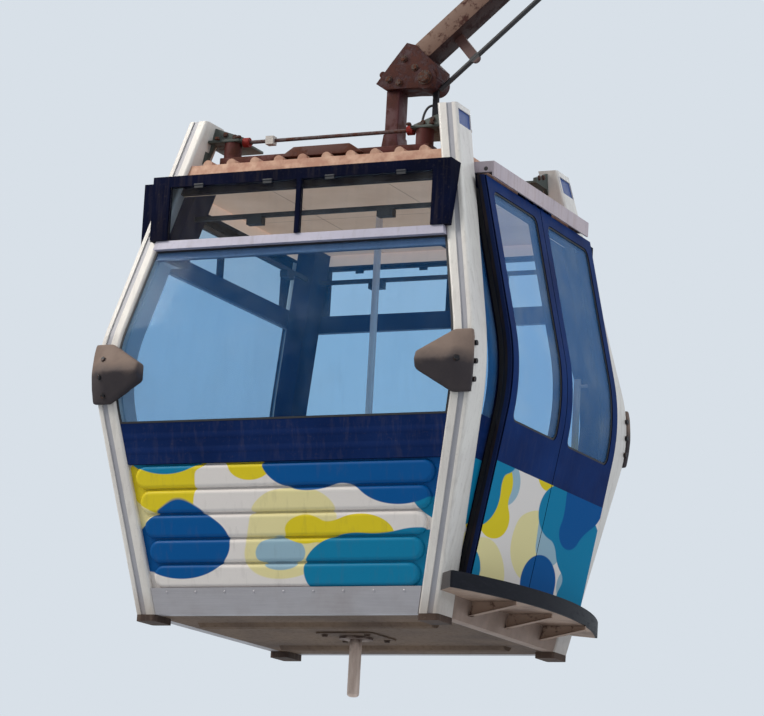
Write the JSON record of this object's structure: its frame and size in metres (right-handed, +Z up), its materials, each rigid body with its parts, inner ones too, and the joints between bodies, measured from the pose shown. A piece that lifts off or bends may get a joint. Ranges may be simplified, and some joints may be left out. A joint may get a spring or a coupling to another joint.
{
  "type": "cable car cabin",
  "caption": "Cable car cabin with bent corner posts, curved windows, sliding doors, rubber bumpers and a footboard, hung by a bent arm from a spring grip that clamps the rope.",
  "frame": {"origin": "centre of the rope inside the grip's jaws, above the middle of the cabin", "axes": "+Z up, rope along Y, doors on the +X side; the end wall seen in the picture faces -Y"},
  "size_m": [1.9966, 2.062, 5.565],
  "materials": {
    "post_paint": "gloss",
    "aluminium": "brushed",
    "underfloor": "satin",
    "livery": "gloss",
    "navy_paint": "gloss",
    "glazing": "polished",
    "sill_paint": "satin",
    "roof_paint": "weathered",
    "cowl_paint": "weathered",
    "ceiling_panel": "matte",
    "stainless": "brushed",
    "handle_yellow": "gloss",
    "seat_shell": "satin",
    "channel_paint": "weathered",
    "bumper_rubber": "weathered",
    "black_rubber": "matte",
    "footboard_paint": "satin",
    "stub_steel": "satin",
    "rusty_paint": "weathered",
    "arm_paint": "weathered",
    "gusset_paint": "weathered",
    "dark_steel": "satin",
    "grip_steel": "satin",
    "spring_steel": "satin",
    "roller_nylon": "matte"
  },
  "bodies": {
    "grip": {"grip_body": "grip_steel", "grip_jaw": "grip_steel", "grip_springs": "spring_steel"},
    "cabin": {"post_front_left": "post_paint", "post_front_right": "post_paint", "post_rear_left": "post_paint", "post_rear_right": "post_paint", "post_feet": "black_rubber", "floor_pan": "underfloor", "skirts": "aluminium", "ribbed_panels": "livery", "belts": "navy_paint", "wall_windows": "glazing", "mid_rails": "sill_paint", "roof_rails": "navy_paint", "vent_frames": "navy_paint", "vent_panes": "glazing", "vent_latches": "dark_steel", "corner_jambs": "navy_paint", "roof": "roof_paint", "roof_cowl": "cowl_paint", "ceiling": "ceiling_panel", "grab_pole": "stainless", "grab_handles": "handle_yellow", "benches": "seat_shell", "door_jambs": "navy_paint", "side_panels": "livery", "side_belts": "navy_paint", "side_windows": "glazing", "door_channel": "channel_paint", "door_rail": "stainless", "footboard": "footboard_paint", "footboard_edge": "black_rubber", "bumpers": "bumper_rubber", "bumper_bolts": "dark_steel", "guide_stub": "stub_steel", "suspension_frame": "rusty_paint", "dampers": "rusty_paint", "post_gussets": "gusset_paint", "tie_rods": "rusty_paint", "hanger_leg": "rusty_paint", "hanger_arm": "arm_paint", "hanger_elbow": "rusty_paint", "door_rod": "dark_steel", "cable_hook": "black_rubber", "door_cable": "black_rubber"},
    "roller_front": {"front_grip_roller": "roller_nylon"},
    "roller_rear": {"rear_grip_roller": "roller_nylon"},
    "door_front": {"front_door": "navy_paint", "front_door_glass": "glazing", "front_door_seal": "black_rubber"},
    "door_rear": {"rear_door": "navy_paint", "rear_door_glass": "glazing", "rear_door_seal": "black_rubber"}
  },
  "joints": [
    {"name": "cabin_swing", "type": "hinge", "parent": "grip", "child": "cabin", "pos_m": [0.231, 0, 0], "axis": [1, 0, 0], "range_deg": [-35, 35]},
    {"name": "front_roller_spin", "type": "hinge", "parent": "grip", "child": "roller_front", "pos_m": [0.02, -0.16, 0.2], "axis": [1, 0, 0], "continuous": true},
    {"name": "rear_roller_spin", "type": "hinge", "parent": "grip", "child": "roller_rear", "pos_m": [0.02, 0.16, 0.2], "axis": [1, 0, 0], "continuous": true},
    {"name": "front_door_slide", "type": "slide", "parent": "cabin", "child": "door_front", "axis": [0, -1, 0], "range_m": [0, 0.4]},
    {"name": "rear_door_slide", "type": "slide", "parent": "cabin", "child": "door_rear", "axis": [0, 1, 0], "range_m": [0, 0.4]}
  ],
  "couplings": [
    {"joint": "rear_door_slide", "follows": "front_door_slide", "ratio": 1}
  ]
}
